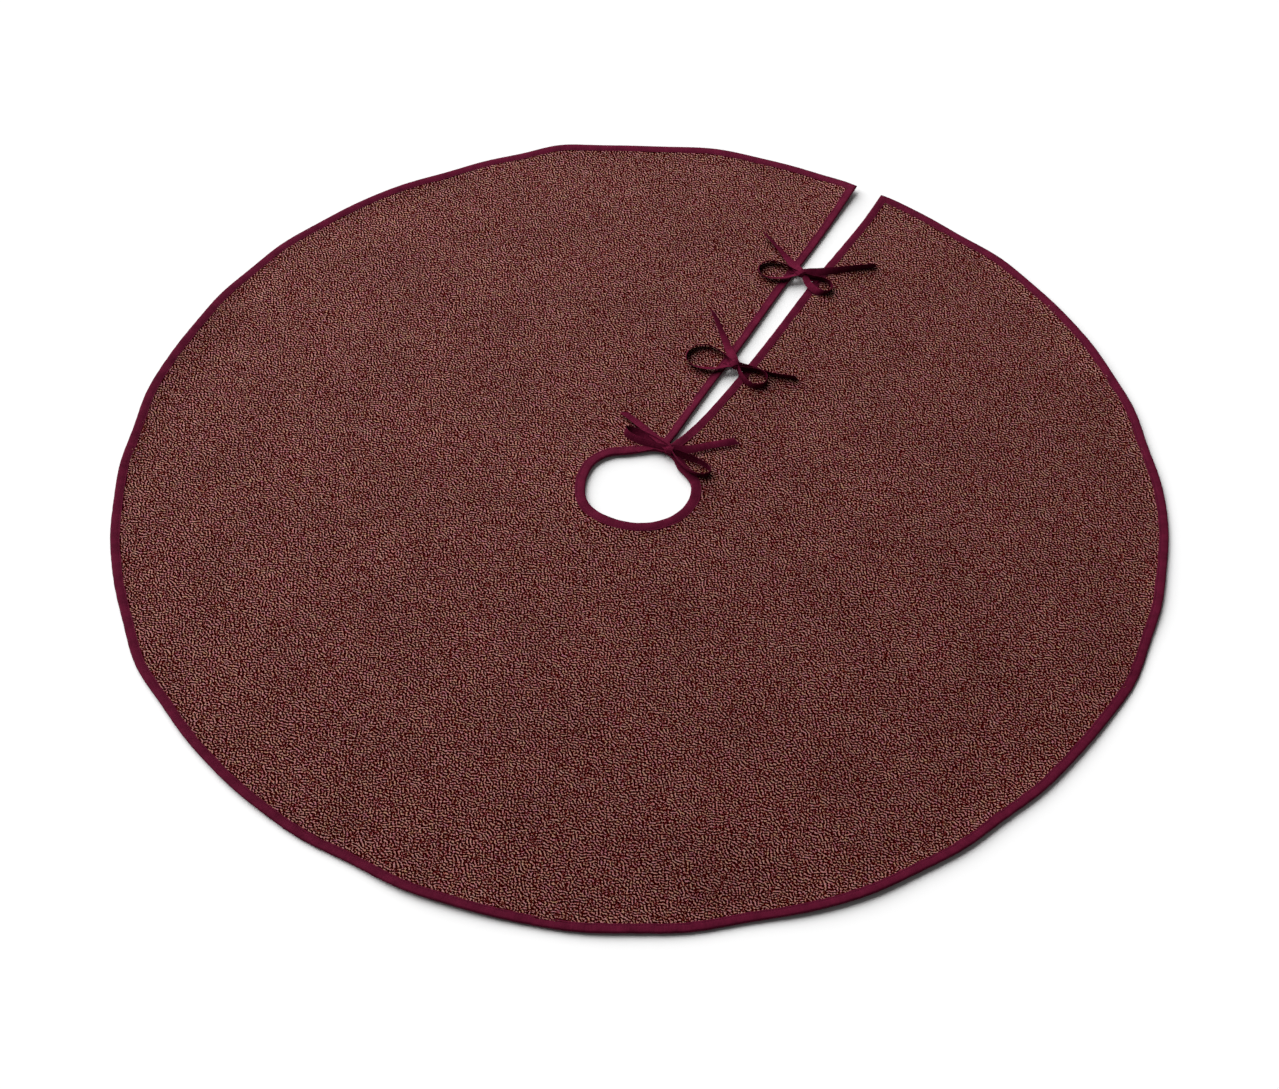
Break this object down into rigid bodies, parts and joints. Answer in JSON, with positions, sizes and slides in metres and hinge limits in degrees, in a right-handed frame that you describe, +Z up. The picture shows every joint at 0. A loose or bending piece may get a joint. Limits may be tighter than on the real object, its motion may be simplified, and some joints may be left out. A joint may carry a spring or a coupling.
{
  "type": "tree skirt",
  "caption": "Round bound cloth skirt with a trunk hole and a slit closed by tied ribbon bows; one half folds over the other and the bows' loops and ends lift.",
  "frame": {"origin": "on the floor, at the middle of the trunk hole", "axes": "+Z up; +Y along the slit from the hole to the rim; +X towards the right flap, seen from above with the slit pointing away"},
  "size_m": [1.2, 1.1998, 0.0139],
  "materials": {
    "face_fabric": "burgundy knit with a random crinkled pattern of rose-gold metallic thread",
    "lining_fabric": "matt plain-woven burgundy backing",
    "binding_tape": "soft satin-sheen burgundy tape, folded over the edge",
    "ribbon": "satin burgundy ribbon",
    "thread": "dark burgundy polyester sewing thread"
  },
  "bodies": {
    "tied_half": {"face_cloth_left": "face_fabric", "face_cloth_right": "face_fabric", "lining_left": "lining_fabric", "lining_right": "lining_fabric", "rim_binding_left": "binding_tape", "rim_binding_right": "binding_tape", "slit_binding_left": "binding_tape", "slit_binding_right": "binding_tape", "hole_binding_left": "binding_tape", "hole_binding_right": "binding_tape", "rim_stitching_left": "thread", "rim_stitching_right": "thread", "slit_stitching_left": "thread", "slit_stitching_right": "thread", "hole_stitching_left": "thread", "hole_stitching_right": "thread", "neck_bow_knot": "ribbon", "neck_bow_left_tie": "ribbon", "neck_bow_right_tie": "ribbon", "middle_bow_knot": "ribbon", "middle_bow_left_tie": "ribbon", "middle_bow_right_tie": "ribbon", "middle_left_bar_tack": "thread", "middle_right_bar_tack": "thread", "outer_bow_knot": "ribbon", "outer_bow_left_tie": "ribbon", "outer_bow_right_tie": "ribbon", "outer_left_bar_tack": "thread", "outer_right_bar_tack": "thread"},
    "plain_half": {"face_cloth_plain": "face_fabric", "lining_plain": "lining_fabric", "rim_binding_plain": "binding_tape", "hole_binding_plain": "binding_tape", "rim_stitching_plain": "thread", "hole_stitching_plain": "thread"},
    "neck_left_loop": {"neck_bow_left_loop": "ribbon"},
    "neck_left_tail": {"neck_bow_left_tail": "ribbon"},
    "neck_right_loop": {"neck_bow_right_loop": "ribbon"},
    "neck_right_tail": {"neck_bow_right_tail": "ribbon"},
    "middle_left_loop": {"middle_bow_left_loop": "ribbon"},
    "middle_left_tail": {"middle_bow_left_tail": "ribbon"},
    "middle_right_loop": {"middle_bow_right_loop": "ribbon"},
    "middle_right_tail": {"middle_bow_right_tail": "ribbon"},
    "outer_left_loop": {"outer_bow_left_loop": "ribbon"},
    "outer_left_tail": {"outer_bow_left_tail": "ribbon"},
    "outer_right_loop": {"outer_bow_right_loop": "ribbon"},
    "outer_right_tail": {"outer_bow_right_tail": "ribbon"}
  },
  "joints": [
    {"name": "half_fold", "type": "hinge", "parent": "tied_half", "child": "plain_half", "pos_m": [0, 0, 0.012], "axis": [-1, 0, 0], "range_deg": [0, 179]},
    {"name": "neck_left_loop_lift", "type": "hinge", "parent": "tied_half", "child": "neck_left_loop", "pos_m": [-0.00016, 0.06084, 0.0139], "axis": [0.1219, -0.9925, 0], "range_deg": [-60, 0]},
    {"name": "neck_left_tail_lift", "type": "hinge", "parent": "tied_half", "child": "neck_left_tail", "pos_m": [-0.00016, 0.07116, 0.0064], "axis": [-0.2588, -0.9659, 0], "range_deg": [-75, 0]},
    {"name": "neck_right_loop_lift", "type": "hinge", "parent": "tied_half", "child": "neck_right_loop", "pos_m": [0.01059, 0.06131, 0.0139], "axis": [0.2419, 0.9703, 0], "range_deg": [-60, 0]},
    {"name": "neck_right_tail_lift", "type": "hinge", "parent": "tied_half", "child": "neck_right_tail", "pos_m": [0.00969, 0.07159, 0.0064], "axis": [-0.6561, 0.7547, 0], "range_deg": [-75, 0]},
    {"name": "middle_left_loop_lift", "type": "hinge", "parent": "tied_half", "child": "middle_left_loop", "pos_m": [-0.00586, 0.2245, 0.0139], "axis": [0.225, -0.9744, 0], "range_deg": [-60, 0]},
    {"name": "middle_left_tail_lift", "type": "hinge", "parent": "tied_half", "child": "middle_left_tail", "pos_m": [-0.00319, 0.23298, 0.0064], "axis": [-0.7193, -0.6947, 0], "range_deg": [-75, 0]},
    {"name": "middle_right_loop_lift", "type": "hinge", "parent": "tied_half", "child": "middle_right_loop", "pos_m": [0.00616, 0.22184, 0.0139], "axis": [0.4067, 0.9135, 0], "range_deg": [-60, 0]},
    {"name": "middle_right_tail_lift", "type": "hinge", "parent": "tied_half", "child": "middle_right_tail", "pos_m": [0.00732, 0.23065, 0.0064], "axis": [-0.2079, 0.9781, 0], "range_deg": [-75, 0]},
    {"name": "outer_left_loop_lift", "type": "hinge", "parent": "tied_half", "child": "outer_left_loop", "pos_m": [-0.01048, 0.40581, 0.0139], "axis": [0.5, -0.866, 0], "range_deg": [-60, 0]},
    {"name": "outer_left_tail_lift", "type": "hinge", "parent": "tied_half", "child": "outer_left_tail", "pos_m": [-0.00966, 0.41516, 0.0064], "axis": [-0.4848, -0.8746, 0], "range_deg": [-75, 0]},
    {"name": "outer_right_loop_lift", "type": "hinge", "parent": "tied_half", "child": "outer_right_loop", "pos_m": [0.00148, 0.40581, 0.0139], "axis": [0.342, 0.9397, 0], "range_deg": [-60, 0]},
    {"name": "outer_right_tail_lift", "type": "hinge", "parent": "tied_half", "child": "outer_right_tail", "pos_m": [0.00109, 0.41469, 0.0064], "axis": [-0.6018, 0.7986, 0], "range_deg": [-75, 0]}
  ]
}
